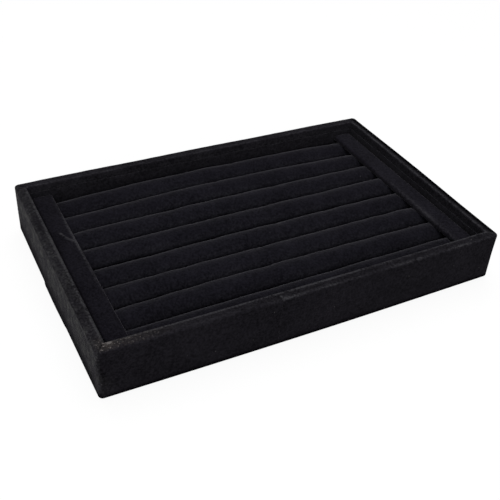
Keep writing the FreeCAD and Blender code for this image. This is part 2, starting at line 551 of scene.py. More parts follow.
@dataclass(frozen=True)
class BackingPaper:
    """Black crepe paper: fine ribs, pale scuffs where it slides on a counter, and rubbed edges."""

    name: str = "black_backing_paper"
    black: Colour = (0.014, 0.014, 0.015)
    rubbed: Colour = (0.075, 0.073, 0.07)
    rib: float = 0.0011
    rib_depth: float = 0.00012
    rib_stretch: Place = (0.45, 1, 1)
    between_ribs: float = 0.35
    roughness: Span = (0.7, 0.9)
    gloss: float = 0.12
    cloud: float = 0.03
    cloud_span: Span = (0.5, 0.78)
    cloud_share: float = 0.25
    scuff: float = 0.004
    scuff_stretch: Place = (0.07, 1, 1)
    scuff_span: Span = (0.6, 0.72)
    scuff_share: float = 0.6
    patch: float = 0.02
    patch_span: Span = (0.4, 0.62)
    rubbed_edge: float = 0.0025
    edge_share: float = 0.8

    def edges(self, graph: Graph) -> Field:
        """How near the paper's edges a point is.

        Args:
            graph: The material's node tree.

        Returns:
            From 0 away from the edges to 1 at an edge.
        """
        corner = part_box("underside_cover")[1]
        apart = graph.node("ShaderNodeSeparateXYZ", None, {0: graph.place()})
        to_x = abs(Field(graph, apart.outputs["X"])).rise(corner.x - self.rubbed_edge, corner.x)
        to_y = abs(Field(graph, apart.outputs["Y"])).rise(corner.y - self.rubbed_edge, corner.y)
        return to_x + to_y

    def material(self) -> bpy.types.Material:
        """Builds the material.

        Returns:
            The material.
        """
        graph = Graph.of_material(self.name)
        ribs = graph.noise(self.rib, detail=2.0, roughness=0.6, stretch=self.rib_stretch).rise(*NOISE_SPAN)
        clouds = graph.noise(self.cloud, detail=5.0, roughness=0.7).rise(*self.cloud_span)
        scuffs = graph.noise(self.scuff, detail=3.0, roughness=0.6, stretch=self.scuff_stretch)
        patches = graph.noise(self.patch, detail=3.0, roughness=0.6).rise(*self.patch_span)
        rubs = self.cloud_share * clouds + self.scuff_share * scuffs.rise(*self.scuff_span) * patches
        rubs = rubs + self.edge_share * self.edges(graph) * patches
        shown = rubs * (self.between_ribs + (1 - self.between_ribs) * ribs)
        colour = graph.mix(shown, self.black, self.rubbed)
        bump = graph.bump(ribs, self.rib_depth)
        return graph.rough_surface(colour, ribs, self.roughness, bump, self.gloss)


@dataclass(frozen=True)
class Foam:
    """Open-cell foam: small dark pores in a grey body."""

    name: str = "grey_foam"
    body: Colour = (0.05, 0.05, 0.054)
    pore: Colour = (0.012, 0.012, 0.013)
    cell: float = 0.0009
    wall_span: Span = (0.15, 0.6)
    depth: float = 0.0002
    roughness: float = 0.95

    def material(self) -> bpy.types.Material:
        """Builds the material.

        Returns:
            The material.
        """
        graph = Graph.of_material(self.name)
        sockets = {"Vector": graph.place(), "Scale": 1 / self.cell}
        cells = graph.field("ShaderNodeTexVoronoi", {"feature": "F1"}, sockets, "Distance")
        wall = cells.rise(*self.wall_span)
        colour = graph.mix(wall, self.pore, self.body)
        bump = graph.bump(wall, self.depth)
        return graph.surface({"Base Color": colour, "Roughness": self.roughness, "Normal": bump})


@dataclass(frozen=True)
class Ripple:
    """Smooth unevenness: a few waves with seeded directions, lengths and phases."""

    height: float
    length: float
    seed: int
    waves: int = 6
    stretches: Span = (0.6, 1.7)

    def seeded(self, extra: int) -> "Ripple":
        """The same kind of unevenness from a later seed."""
        return replace(self, seed=self.seed + extra)

    def over(self, u: np.ndarray, v: np.ndarray) -> np.ndarray:
        """The unevenness over a surface.

        Args:
            u: Distance along the surface, in metres.
            v: Distance across it, in metres.

        Returns:
            The height at each point, in metres.
        """
        rng = np.random.default_rng(self.seed)
        total = np.zeros(np.broadcast(u, v).shape)
        for _ in range(self.waves):
            turn, phase = rng.uniform(0, math.tau), rng.uniform(0, math.tau)
            pace = math.tau / (self.length * rng.uniform(*self.stretches))
            total += np.sin(pace * (math.cos(turn) * u + math.sin(turn) * v) + phase)
        return self.height * total / math.sqrt(self.waves)


@dataclass
class Skin:
    """A mesh in the making: points, faces and the values carried at the points."""

    points: np.ndarray
    faces: list[tuple[int, ...]]
    values: dict[str, np.ndarray]

    @classmethod
    def over_rows(cls, rows: np.ndarray, values: dict[str, np.ndarray], closed: bool = False) -> "Skin":
        """Covers rows of points with four-sided faces.

        Args:
            rows: Points by row and column.
            values: Values by row and column.
            closed: Whether each row ends where it starts.

        Returns:
            The skin.
        """
        count, width = rows.shape[:2]
        here = np.arange(count * width).reshape(count, width)
        after = np.roll(here, -1, axis=1)
        columns = slice(None) if closed else slice(0, width - 1)
        corners = (here[:-1, columns], after[:-1, columns], after[1:, columns], here[1:, columns])
        faces = np.stack([c.ravel() for c in corners], axis=1).tolist()
        return cls(rows.reshape(-1, 3), faces, {k: v.reshape(-1) for k, v in values.items()})

    def capped(self, width: int) -> "Skin":
        """Closes the first and last rows of a tube with flat ends.

        Args:
            width: How many points a row has.

        Returns:
            The same skin.
        """
        last = len(self.points) - width
        self.faces.append(tuple(range(width - 1, -1, -1)))
        self.faces.append(tuple(range(last, last + width)))
        return self

    def mesh(self, name: str) -> bpy.types.Mesh:
        """Makes the mesh, with points that coincide merged and edges smoothed up to a limit.

        Args:
            name: The mesh's name.

        Returns:
            The mesh.
        """
        mesh = bpy.data.meshes.new(name)
        mesh.from_pydata(self.points.tolist(), [], self.faces)
        for key, value in self.values.items():
            entry = mesh.attributes.new(key, "FLOAT", "POINT")
            entry.data.foreach_set("value", value.astype(np.float32))
        work = bmesh.new()
        work.from_mesh(mesh)
        bmesh.ops.remove_doubles(work, verts=work.verts, dist=MERGE_DISTANCE)
        bmesh.ops.recalc_face_normals(work, faces=work.faces)
        work.to_mesh(mesh)
        work.free()
        mesh.polygons.foreach_set("use_smooth", [True] * len(mesh.polygons))
        mesh.set_sharp_from_angle(angle=SHARP_ANGLE)
        return mesh


@dataclass(frozen=True)
class Dress:
    """How a piece joins the part: its finish and body, and the nodes that it stands for."""

    finish: bpy.types.Material
    slot: Slot
    body: Body
    nodes: tuple[str, ...]

    def add(self, name: str, skin: Skin, thickness: float = 0.0) -> bpy.types.Object:
        """Adds a piece to the part.

        Args:
            name: The piece's name.
            skin: Its mesh in the making.
            thickness: How thick the cloth under an open skin is, or 0 for a closed one.

        Returns:
            The piece.
        """
        piece = bpy.data.objects.new(name, skin.mesh(name))
        bpy.context.scene.collection.objects.link(piece)
        piece.data.materials.append(self.finish)
        if thickness:
            cloth = piece.modifiers.new("cloth", "SOLIDIFY")
            cloth.thickness = thickness
            cloth.offset = -1.0
        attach(piece, self.body.value)
        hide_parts(*self.nodes)
        LOG.info("%s: %d points, rides on %s", name, len(piece.data.vertices), self.body.value)
        return piece


def spaced(
    start: float, end: float, step: float, fine: float, marks: list[float], reach: float
) -> np.ndarray:
    """Places along a line, closer together around marks.

    Args:
        start: Where the line starts.
        end: Where it ends.
        step: The usual distance between places.
        fine: The distance between places around a mark.
        marks: Where the marks are.
        reach: How far from a mark the places are closer.

    Returns:
        The places, from start to end.
    """
    places = [start]
    while places[-1] < end:
        near = any(abs(places[-1] - m) < reach for m in marks)
        places.append(places[-1] + (fine if near else step))
    places = np.array(places)
    return start + (places - start) * (end - start) / (places[-1] - start)


def bell(distance: np.ndarray, width: float) -> np.ndarray:
    """A smooth bump of height 1 about zero distance."""
    return np.exp(-((distance / width) ** 2))


def step_up(value: np.ndarray, low: float, high: float) -> np.ndarray:
    """A smooth step from 0 at one value to 1 at another."""
    share = np.clip((value - low) / (high - low), 0, 1)
    return share * share * (3 - 2 * share)


@dataclass(frozen=True)
class Path:
    """Stations along a strip that runs round the tray: which way each runs and faces, and where it is.

    A station's place is its distance along its side from the middle, and its turn is how far it is round
    the corner at the side's far end, from 0 to a right angle.
    """

    along: np.ndarray
    outward: np.ndarray
    place: np.ndarray
    turn: np.ndarray

    @property
    def facing(self) -> np.ndarray:
        """The direction that each station faces."""
        turn = self.turn[:, None]
        return self.outward * np.cos(turn) + self.along * np.sin(turn)


@dataclass(frozen=True)
class Slope:
    """A smooth step from 0 where it starts to 1 where it ends, which may be the lower value."""

    start: float
    end: float

    def at(self, value: np.ndarray) -> np.ndarray:
        """The step's height at values."""
        return step_up(value, self.start, self.end)


@dataclass(frozen=True)
class Ramp:
    """A smooth change from one value to another."""

    first: float
    last: float
    slope: Slope

    def at(self, value: np.ndarray) -> np.ndarray:
        """The ramp's height at values."""
        return self.first + (self.last - self.first) * self.slope.at(value)


@dataclass(frozen=True)
class Jump:
    """One value before a place and another from there on."""

    place: float
    before: float
    after: float

    def at(self, value: np.ndarray) -> np.ndarray:
        """The value on either side of the place."""
        return np.where(value < self.place, self.before, self.after)


@dataclass(frozen=True)
class Band:
    """A smooth bump of height 1 about a centre."""

    centre: float
    width: float

    def at(self, value: np.ndarray) -> np.ndarray:
        """The bump's height at values."""
        return bell(value - self.centre, self.width)


@dataclass(frozen=True)
class Spot:
    """A smooth bump of height 1 about a place seen from above."""

    x: float
    y: float
    reach: float
    stretch: float = 1.0

    def at(self, points: np.ndarray) -> np.ndarray:
        """The bump's height at points."""
        return bell(np.hypot((points[..., 0] - self.x) / self.stretch, points[..., 1] - self.y), self.reach)


@dataclass(frozen=True)
class Patchy:
    """An amount that changes with patches, between limits."""

    usual: float
    change: float
    least: float
    most: float

    def at(self, patches: np.ndarray) -> np.ndarray:
        """The amount at values of the patches."""
        return np.clip(self.usual + self.change * patches, self.least, self.most)


@dataclass(frozen=True)
class Both:
    """Two fades at once, such as a rise and a fall."""

    first: "Fade"
    second: "Fade"

    def at(self, value: np.ndarray) -> np.ndarray:
        """The product of the two at values."""
        return self.first.at(value) * self.second.at(value)


Fade = Slope | Ramp | Jump | Band | Spot | Patchy | Both


@dataclass
class Strip:
    """The plain wrap's points, by station along the strip and place across it.

    The zone of a place is how far across the strip it is: 0 to 1 under the base, 1 to 2 up the face, 2 to 3
    round the outer edge, 3 to 4 over the rim, 4 to 5 round the inner edge and 5 to 6 down the inside.
    """

    path: Path
    travel: np.ndarray
    rows: np.ndarray
    zone: np.ndarray
    half: np.ndarray
    patchiness: Ripple = Ripple(0.5, 0.02, 23)

    def __post_init__(self) -> None:
        """Finds the coordinates that effects fade along."""
        self.x, self.y, self.z = np.moveaxis(self.rows, 2, 0)
        self.leftward, self.forward = -self.x, -self.y
        self.run = self.travel[:, None] + 0 * self.z
        self.patches = self.patchiness.over(self.run, self.z)
        self.straight = (self.path.turn <= 0)[:, None].astype(float)
        length = np.abs(self.path.along @ self.half)[:, None]
        self.arch = self.straight * (1 - (self.path.place[:, None] / length) ** 2)
        self.facing_left = (self.path.facing @ Side.LEFT.outward)[:, None]
        self.past_corner = self.run - self.travel[self.path.turn > 0][-1]
        from_end, from_side = self.half[0] - np.abs(self.x), self.half[1] - np.abs(self.y)
        self.to_mitre = (from_end - from_side) / math.sqrt(2)
        self.from_front_corner = np.hypot(self.x + self.half[0], self.y + self.half[1])
        beyond = (self.on(Side.FRONT) > 0) & (self.x > SEAM_X)
        self.past_seam = np.where(beyond, self.x - SEAM_X, FAR_OFF)

    def on(self, side: Side) -> np.ndarray:
        """1 at a side's stations and 0 elsewhere, in a column."""
        return (self.path.outward @ side.outward > 0)[:, None].astype(float)

    def by_side(self, values: FourSides) -> np.ndarray:
        """The value of each station's side, in a column."""
        return sum(value * self.on(side) for value, side in zip(values, Side))


class Touch:
    """One effect on the wrap, which fades along some of the strip's coordinates."""

    def __init__(self, strength: float | FourSides, **fades: Fade) -> None:
        """Keeps the strength, the same all round or one for each side, and the fades by coordinate."""
        self.strength = strength if isinstance(strength, tuple) else (strength,) * len(Side)
        self.fades = fades

    def over(self, strip: Strip) -> np.ndarray:
        """The effect on a strip.

        Args:
            strip: The plain wrap.

        Returns:
            The strength times all the fades, at each point.
        """
        total = strip.by_side(self.strength)
        for coordinate, fade in self.fades.items():
            total = total * fade.at(getattr(strip, coordinate))
        return total


@dataclass(frozen=True)
class Touches:
    """Effects on the wrap that add up, each a field of its own."""

    def over(self, strip: Strip) -> np.ndarray:
        """The sum of the effects at a strip's points."""
        return sum(getattr(self, entry.name).over(strip) for entry in fields(self))


# Fades that effects share; lengths are in metres except along the zone
CORNER = Band(0, 0.005)
RIM = Both(Slope(2.3, 3.0), Slope(4.7, 4.0))
INNER_EDGE = Both(Slope(3.85, 4.05), Slope(4.65, 4.35))
OUTSIDE = Both(Slope(0.8, 1.2), Slope(4.9, 4.2))
FRAYED = Both(Slope(2.35, 2.9), Slope(4.8, 4.3))
OUTER_EDGE = {"zone": Band(2.65, 0.32), "patches": Patchy(0.42, 0.7, 0.05, 1.2)}
LEFT_RIM = {
    "zone": Both(OUTSIDE, Slope(2.6, 3.2)),
    "facing_left": Slope(0.1, 0.75),
    "z": Ramp(0.25, 0.87, Slope(0.003, 0.02)),
}


@dataclass(frozen=True)
class Wear(Touches):
    """Where the wrap's pile is worn, and painted light inside the walls, over the rim and down the front
    left corner. Four strengths are for the front, right, back and left.
    """

    front_outer_edge: Touch = Touch((0.82, 0, 0, 0), x=Jump(SEAM_X, 0.15, 1), **OUTER_EDGE)
    other_outer_edges: Touch = Touch((0, 0, 0.6, 0.4), **OUTER_EDGE)
    inner_edges: Touch = Touch((0.45, 0, 0.2, 0.9), zone=INNER_EDGE, patches=Patchy(0.9, 0.5, 0.3, 1.4))
    before_seam: Touch = Touch((0.25, 0, 0, 0), zone=INNER_EDGE, x=Jump(SEAM_X, 1, 0))
    front_middle: Touch = Touch((0.9, 0, 0, 0), zone=INNER_EDGE, x=Band(0.004, 0.018))
    front_right: Touch = Touch((0.6, 0, 0, 0), zone=INNER_EDGE, x=Slope(0.06, 0.1))
    right_rim: Touch = Touch((0, 0.8, 0, 0), zone=Band(4.15, 0.24), patches=Patchy(0.9, 0.5, 0.4, 1.4))
    # Painted light down the inside of the walls
    inside: Touch = Touch(0.15, zone=Slope(4.8, 5.2))
    # Painted light over the whole rim, in place of sheen
    rim: Touch = Touch(0.05, zone=RIM)
    lip: Touch = Touch(1.0, zone=RIM, past_seam=Band(0, 0.0006))
    beside_lip: Touch = Touch(0.5, zone=Band(2.7, 0.4), past_seam=Band(0.003, 0.006))
    front_right_mitre: Touch = Touch(
        0.5, zone=RIM, to_mitre=Band(0, 0.0006), x=Slope(0, 0.1), y=Slope(0.03, -0.03)
    )
    fold: Touch = Touch((0, 0, 0, 0.8), zone=Both(RIM, Slope(3.3, 3.8)), y=Band(FOLD_Y, 0.0006))
    # Painted highlight down the rounding of the front left corner
    front_left_corner: Touch = Touch(
        0.65, zone=Both(Slope(1.02, 1.15), Slope(2.4, 2.0)), past_corner=Band(-0.0018, 0.0009)
    )


@dataclass(frozen=True)
class Dust(Touches):
    """Where the wrap is dusty: the left wall and its rim most, then the front rim's left end."""

    left_wall: Touch = Touch(0.165, **{**LEFT_RIM, "zone": OUTSIDE})
    left_rim: Touch = Touch(-0.0363, **LEFT_RIM)
    left_rim_middle: Touch = Touch(0.1155, y=Band(0.002, 0.017), **LEFT_RIM)
    before_fold: Touch = Touch(-0.0825, y=Band(0.028, 0.014), **LEFT_RIM)
    front_rim: Touch = Touch(
        (0.2, 0, 0, 0), zone=Both(OUTSIDE, Band(3.9, 0.6)), leftward=Slope(0.055, 0.105)
    )
    corner_foot: Touch = Touch(0.13, zone=OUTSIDE, from_front_corner=CORNER, z=Slope(0.02, 0.008))


@dataclass(frozen=True)
class Fray(Touches):
    """Where the pile is rubbed through to its backing: about the rim's front left corner."""

    corner: Touch = Touch(0.7, zone=FRAYED, rows=Spot(-0.1072, -0.0675, 0.0042))
    beside_corner: Touch = Touch((0.45, 0, 0, 0), zone=FRAYED, leftward=Slope(0.07, 0.104))
    loose_tuft: Touch = Touch(1.6, zone=FRAYED, rows=Spot(-0.1049, -0.0672, 0.0008, stretch=1.5))


@dataclass(frozen=True)
class FootShade(Touches):
    """Painted shadow along the foot of the faces, which takes the sheen away there."""

    foot: Touch = Touch((1, 1, 1, 0), zone=Slope(1.12, 1.0))
    left_foot: Touch = Touch((0, 0, 0, 1), zone=Slope(1.14, 1.0))


@dataclass(frozen=True)
class FaceShade(Touches):
    """Darker outer faces: all a little, the left one more towards its bottom but not at its front corner.
    """

    brushed: Touch = Touch(0.32, zone=Slope(2.4, 1.9))
    left_low: Touch = Touch((0, 0, 0, 0.45), z=Slope(0.017, 0.004))
    left_corner: Touch = Touch((0, 0, 0, -0.45), z=Slope(0.017, 0.004), from_front_corner=CORNER)


@dataclass(frozen=True)
class RimShade(Touches):
    """Where the rim and its edges are darker: painted shade along the far outer edges and the right rim's
    outer half, which takes their sheen away, and a darker tone in patches on the front, right and left.
    """

    # Painted shade along the far outer edges
    far_outer_edges: Touch = Touch((0, 0.93, 0.6, 0), zone=Band(2.7, 0.5))
    # Painted shade over the right rim's outer half
    right_rim: Touch = Touch((0, 0.93, 0, 0), zone=Band(3.35, 0.32))
    front_rim: Touch = Touch((0.15, 0, 0, 0), zone=Band(3.5, 0.4))
    past_seam: Touch = Touch((0.15, 0, 0, 0), zone=Band(3.5, 0.4), x=Band(0.012, 0.026))
    right_inner_edge: Touch = Touch((0, 0.1, 0, 0), zone=Band(4.8, 0.4))
    before_fold: Touch = Touch((0, 0, 0, 0.3), zone=Band(3.5, 0.5), y=Band(0.028, 0.014))


@dataclass(frozen=True)
class RimLift(Touches):
    """How far the cloth on the rim rises or sinks at its mitres, the seam's lip and the fold."""

    mitres: Touch = Touch(-0.00035, to_mitre=Band(0, 0.0005))
    lip: Touch = Touch(0.0004, past_seam=Band(0, 0.0012))
    fold: Touch = Touch(
        (0, 0, 0, 0.0003),
        y=Both(Slope(FOLD_Y - 0.0004, FOLD_Y + 0.0004), Slope(0.066, 0.055)),
        straight=Slope(0, 1),
    )


@dataclass(frozen=True)
class Gathers:
    """The small creases in the strip just past each corner, in the order that it passes them."""

    heights: FourSides = (0.00005, 0.00005, 0.00005, 0.00009)
    phases: FourSides = (0.6, 2.0, 4.4, 3.08)
    pitch: float = 0.0027
    drift: float = 0.0113
    drift_turn: float = 0.5
    slant: float = 0.3
    shift: float = 0.0016
    width: float = 0.0021
    upright: Both = Both(Slope(0.01, 0.013), Slope(0.027, 0.0235))

    def over(self, strip: Strip) -> np.ndarray:
        """The creases over the strip.

        Args:
            strip: The plain wrap.

        Returns:
            How far the creases stand out, or lie in where it is below zero, at each point.
        """
        total = 0 * strip.z
        drift = self.drift_turn * np.sin(math.tau * strip.z / self.drift)
        corners = np.split(strip.travel[strip.path.turn > 0], len(Side))
        for corner, height, phase in zip(corners, self.heights, self.phases):
            past = strip.travel[:, None] - corner.mean() - self.shift
            turn = math.tau * (strip.z - self.slant * past) / self.pitch + phase + drift
            total += height * bell(past, self.width) * np.sin(turn)
        return total * self.upright.at(strip.z)

    def valleys(self, strip: Strip) -> np.ndarray:
        """How deep in a crease the points are, from 0 to 1."""
        return np.clip(-self.over(strip) / max(self.heights), 0, 1)


@dataclass(frozen=True)
class WrapRelief:
    """How the cloth departs from a plain wrap: waves, creases, bows, a bulge, mitres, a lip and a fold."""

    gathers: Gathers = Gathers()
    face: Both = Both(Slope(1.0, 1.15), Slope(2.2, 1.9))
    face_waves: Ripple = Ripple(0.00008, 0.03, 21)
    rim_waves: Ripple = Ripple(0.00007, 0.012, 22)
    rim_drop: float = 0.00008
    rim_lift: RimLift = RimLift()
    bulge: Touch = Touch(
        (0, 0, 0, 0.0005),
        forward=Both(Both(Slope(-0.019, -0.0145), Slope(0.022, 0.0175)), Ramp(1.0, 0.5, Slope(0, 0.018))),
        z=Slope(0.016, 0.004),
        straight=Slope(0, 1),
    )
    bows: FourSides = (0.0007, 0.0005, 0.0006, 0.0003)
    bow_loss: FourSides = (0.25, 0.25, 0.25, 1.0)
    bow_fade: Slope = Slope(3.4, 4.6)
    front_sag: float = 0.0004
    foot_rise: float = 0.0005
    foot_rise_left: float = 0.3
    foot_up: Slope = Slope(0.012, 0.001)
    foot_across: Slope = Slope(0.2, 0.8)
    foot_spread: float = 0.00035
    spread_from: float = 0.5
    spread_up: Slope = Slope(0.022, 0.002)

    def over(self, strip: Strip) -> np.ndarray:
        """Moves the plain wrap's points.

        Args:
            strip: The plain wrap.

        Returns:
            The wrap's points.
        """
        x, y, z, zone = strip.x, strip.y, strip.z, strip.zone
        half_length, half_width = strip.half
        waves = self.face_waves.over(strip.run, z) - self.face_waves.height
        out = self.face.at(zone) * (waves + self.gathers.over(strip)) + self.bulge.over(strip)
        kept = 1 - strip.by_side(self.bow_loss) * self.bow_fade.at(zone)
        out += strip.arch * strip.by_side(self.bows) * kept
        plan = strip.rows[..., :2] + strip.path.facing[:, None] * out[..., None]
        near_front = step_up(y, 0, -half_width)
        right_end = step_up(x, self.spread_from * half_length, half_length)
        plan[..., 0] += self.foot_spread * right_end * near_front * self.spread_up.at(z)
        lift = self.rim_waves.over(x, y) - self.rim_drop + self.rim_lift.over(strip)
        lift -= self.front_sag * strip.arch * strip.on(Side.FRONT)
        rightward = self.foot_rise_left + (1 - self.foot_rise_left) * step_up(x, 0.0, half_length)
        rise = self.foot_rise * near_front * rightward * self.foot_up.at(z) * self.foot_across.at(zone)
        return np.concatenate([plan, (z + RIM.at(zone) * lift + rise)[..., None]], axis=2)


@dataclass
class WallWrap:
    """The velvet strip: turned under the base, up the outside, over the rim and down the inside."""

    finish: bpy.types.Material
    thickness: float = 0.0006
    corner_radius: float = 0.0022
    corner_steps: int = 8
    edge_radius: float = 0.0012
    edge_steps: int = 7
    soft_edge_radius: float = 0.0019
    softness: float = 0.25
    softness_waves: Ripple = Ripple(0.35, 0.05, 11)
    softness_before_seam: float = 0.9
    turn_under: float = 0.012
    flat_under: float = 0.8
    section_steps: tuple[int, int, int, int] = (5, 22, 9, 14)
    seam_gap: float = 0.00004
    step: float = 0.0013
    fine: float = 0.0004
    fine_reach: float = 0.005
    relief: WrapRelief = WrapRelief()
    wear: Wear = Wear()
    dust: Dust = Dust()
    fray: Fray = Fray()
    foot_shade: FootShade = FootShade()
    face_shade: FaceShade = FaceShade()
    crease_shade: float = 0.6
    rim_shade: RimShade = RimShade()

    def __post_init__(self) -> None:
        """Takes the wrap's outer size from its node."""
        low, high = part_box("wall_wrap")
        self.half = np.array([high.x - low.x, high.y - low.y]) / 2
        self.bottom, self.top = low.z, high.z
        self.base_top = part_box("base_panel")[1].z
        self.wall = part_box("front_lining")[0].y - low.y

    def path(self) -> Path:
        """The strip's way round the tray, from the right of the seam to the left of it.

        Returns:
            The stations, closer together around the corners, the seam and the fold.
        """
        rows = []
        gap = self.seam_gap / 2
        for side in (*Side, Side.FRONT):
            reach = abs(self.half @ side.along) - self.corner_radius
            last = bool(rows) and side is Side.FRONT
            start = SEAM_X + gap if not rows else -reach
            end = SEAM_X - gap if last else reach
            marks = [-reach, reach, SEAM_X if side is Side.FRONT else -FOLD_Y]
            places = spaced(start, end, self.step, self.fine, marks, self.fine_reach)
            rows += [(*side.along, *side.outward, p, 0.0) for p in places]
            if not last:
                turns = np.linspace(0, math.pi / 2, self.corner_steps)[1:-1]
                rows += [(*side.along, *side.outward, reach, t) for t in turns]
        rows = np.array(rows)
        return Path(rows[:, 0:2], rows[:, 2:4], rows[:, 4], rows[:, 5])

    def plan(self, path: Path, depth: np.ndarray) -> np.ndarray:
        """Places on the strip seen from above, mitred behind the rounded corners.

        Args:
            path: The stations.
            depth: How far in from the outer face, by station and point.

        Returns:
            The x and y of each place.
        """
        radius = self.corner_radius
        span = np.abs(path.along @ self.half)[:, None] - radius
        reach = np.abs(path.outward @ self.half)[:, None] - radius
        inner = np.maximum(depth - radius, 0)
        bend = np.maximum(radius - depth, 0)
        narrowed = path.place[:, None] * (span - inner) / span
        turned = path.facing[:, None] * bend[..., None] + path.along[:, None] * narrowed[..., None]
        return turned + path.outward[:, None] * (reach - inner)[..., None]

    def profile(self, radius: np.ndarray) -> tuple[np.ndarray, np.ndarray, np.ndarray]:
        """The strip's section across a wall.

        Args:
            radius: How round the rim's outer edge is at each station.

        Returns:
            Depth in from the outer face and height, by station and point, and the zone of each point.
        """
        small, big = self.edge_radius, radius[:, None]
        quarter = np.linspace(0, 1, self.edge_steps)[1:-1]
        bend = quarter * math.pi / 2
        under, face, rim, inside = (np.linspace(0, 1, count) for count in self.section_steps)
        shoulder, flat = self.bottom + small, self.flat_under
        drop = (self.base_top + small - self.top) * inside
        parts = [
            (self.turn_under + (small - self.turn_under) * under, self.bottom + 0 * under, flat * under),
            (small * (1 - np.sin(bend)), shoulder - small * np.cos(bend), flat + (1 - flat) * quarter),
            (0 * face, shoulder + (self.top - big - shoulder) * face, 1 + face),
            (big * (1 - np.cos(bend)), self.top - big * (1 - np.sin(bend)), 2 + quarter),
            (big + (self.wall - small - big) * rim, self.top + 0 * rim, 3 + rim),
            (self.wall - small * (1 - np.sin(bend)), self.top - small * (1 - np.cos(bend)), 4 + quarter),
            (self.wall + 0 * inside, self.top - small + drop, 5 + inside),
        ]
        wide = [[np.broadcast_to(v, (len(radius), len(zone))) for v in (d, z)] for d, z, zone in parts]
        depth, height = (np.concatenate([pair[n] for pair in wide], axis=1) for n in (0, 1))
        return depth, height, np.concatenate([zone for _, _, zone in parts])

    def marks(self, strip: Strip) -> dict[str, np.ndarray]:
        """How the pile looks.

        Args:
            strip: The plain wrap.

        Returns:
            The wear and painted light, dust, fray and shade at each point, from 0 to 1; a loose tuft's
            fray is above 1.
        """
        # Painted shade in the valleys of the creases
        painted_crease_shade = self.crease_shade * self.relief.gathers.valleys(strip)
        faces = np.maximum(self.foot_shade.over(strip), self.face_shade.over(strip) + painted_crease_shade)
        return {
            "wear": np.clip(self.wear.over(strip), 0, 1),
            "dust": np.clip(self.dust.over(strip), 0, 1),
            "fray": self.fray.over(strip),
            "shade": np.clip(faces + self.rim_shade.over(strip), 0, 1),
        }

    def build(self) -> bpy.types.Object:
        """Returns:
            The wrap.
        """
        path = self.path()
        outside = self.plan(path, np.zeros((len(path.place), 1)))[:, 0]
        travel = np.concatenate([[0.0], np.cumsum(np.linalg.norm(np.diff(outside, axis=0), axis=1))])
        softness = np.clip(self.softness + self.softness_waves.over(travel, 0 * travel), 0, 1)
        softness[(path.outward[:, 1] < 0) & (outside[:, 0] < SEAM_X)] = self.softness_before_seam
        radius = self.edge_radius + softness * (self.soft_edge_radius - self.edge_radius)
        depth, height, zone = self.profile(radius)
        rows = np.concatenate([self.plan(path, depth), height[..., None]], axis=2)
        strip = Strip(path, travel, rows, zone, self.half)
        skin = Skin.over_rows(self.relief.over(strip), self.marks(strip))
        dress = Dress(self.finish, Slot.VELVET, Body.TRAY, ("wall_wrap",))
        piece = dress.add("velvet_wall_wrap", skin, self.thickness)
        return piece


@dataclass
class Lining:
    """A velvet-faced strip inside one wall, its top edge a little below the rim."""

    side: Side
    finish: bpy.types.Material
    edge_waves: Ripple = Ripple(0.00018, 0.03, 31)
    bulges: Ripple = Ripple(0.00006, 0.02, 41)
    bulge_up: Slope = Slope(0.0, 0.3)
    rounding: float = 0.00025
    height_steps: int = 10
    rounding_steps: int = 7
    # Painted shade, darker down the strip from a little below its top
    shade: float = 0.2
    shade_down: Slope = Slope(0.002, 0.007)
    step: float = 0.002

    def build(self) -> bpy.types.Object:
        """Makes the lining.

        Returns:
            The lining.
        """
        node = f"{self.side.word}_lining"
        low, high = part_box(node)
        size = high - low
        lengthwise = 0 if size.x > size.y else 1
        across = 1 - lengthwise
        inward = -float(self.side.outward[across])
        middle = (low[across] + high[across]) / 2
        half = size[across] / 2
        wave = self.edge_waves.seeded(self.side.value)
        bulge = self.bulges.seeded(self.side.value)
        up = np.linspace(0, 1, self.height_steps)
        round_top = np.linspace(math.pi, 0, self.rounding_steps)[1:-1]
        rows = []
        for place in np.arange(low[lengthwise], high[lengthwise] + self.step / 2, self.step):
            place = min(place, high[lengthwise])
            top = high.z + float(wave.over(np.array(place), np.array(0.0))) - wave.height
            shoulder = top - self.rounding
            rise = low.z + (shoulder - low.z) * up
            front = -half + bulge.over(np.full_like(rise, place), rise) * self.bulge_up.at(up)
            row = np.zeros((2 * len(up) + len(round_top), 3))
            row[:, lengthwise] = place
            out = np.concatenate([front, half * np.cos(round_top), np.full_like(up, half)])
            row[:, across] = middle - inward * out
            row[:, 2] = np.concatenate([rise, shoulder + self.rounding * np.sin(round_top), rise[::-1]])
            rows.append(row)
        rows = np.array(rows)
        below = high.z - rows[..., 2]
        values = {"wear": 0 * below, "dust": 0 * below, "shade": self.shade * self.shade_down.at(below)}
        skin = Skin.over_rows(rows, values, closed=True).capped(rows.shape[1])
        piece = Dress(self.finish, Slot.VELVET, Body.TRAY, (node,)).add(f"velvet_{node}", skin)
        return piece


@dataclass
class FloorLining:
    """The velvet laid on the tray's floor under the insert."""

    finish: bpy.types.Material
    waves: Ripple = Ripple(0.00005, 0.025, 51)
    drop: float = 0.00006
    thickness_share: float = 0.8
    step: float = 0.003

    def build(self) -> bpy.types.Object:
        """Makes the floor lining.

        Returns:
            The floor lining.
        """
        low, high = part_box("floor_lining")
        size = high - low
        xs = np.linspace(low.x, high.x, round(size.x / self.step))
        ys = np.linspace(low.y, high.y, round(size.y / self.step))
        x, y = np.meshgrid(xs, ys, indexing="ij")
        z = high.z - self.drop + self.waves.over(x, y)
        rows = np.stack([x, y, z], axis=2)
        skin = Skin.over_rows(rows, {"wear": 0 * z, "dust": 0 * z})
        dress = Dress(self.finish, Slot.VELVET, Body.TRAY, ("floor_lining",))
        piece = dress.add("velvet_floor_lining", skin, self.thickness_share * size.z)
        return piece


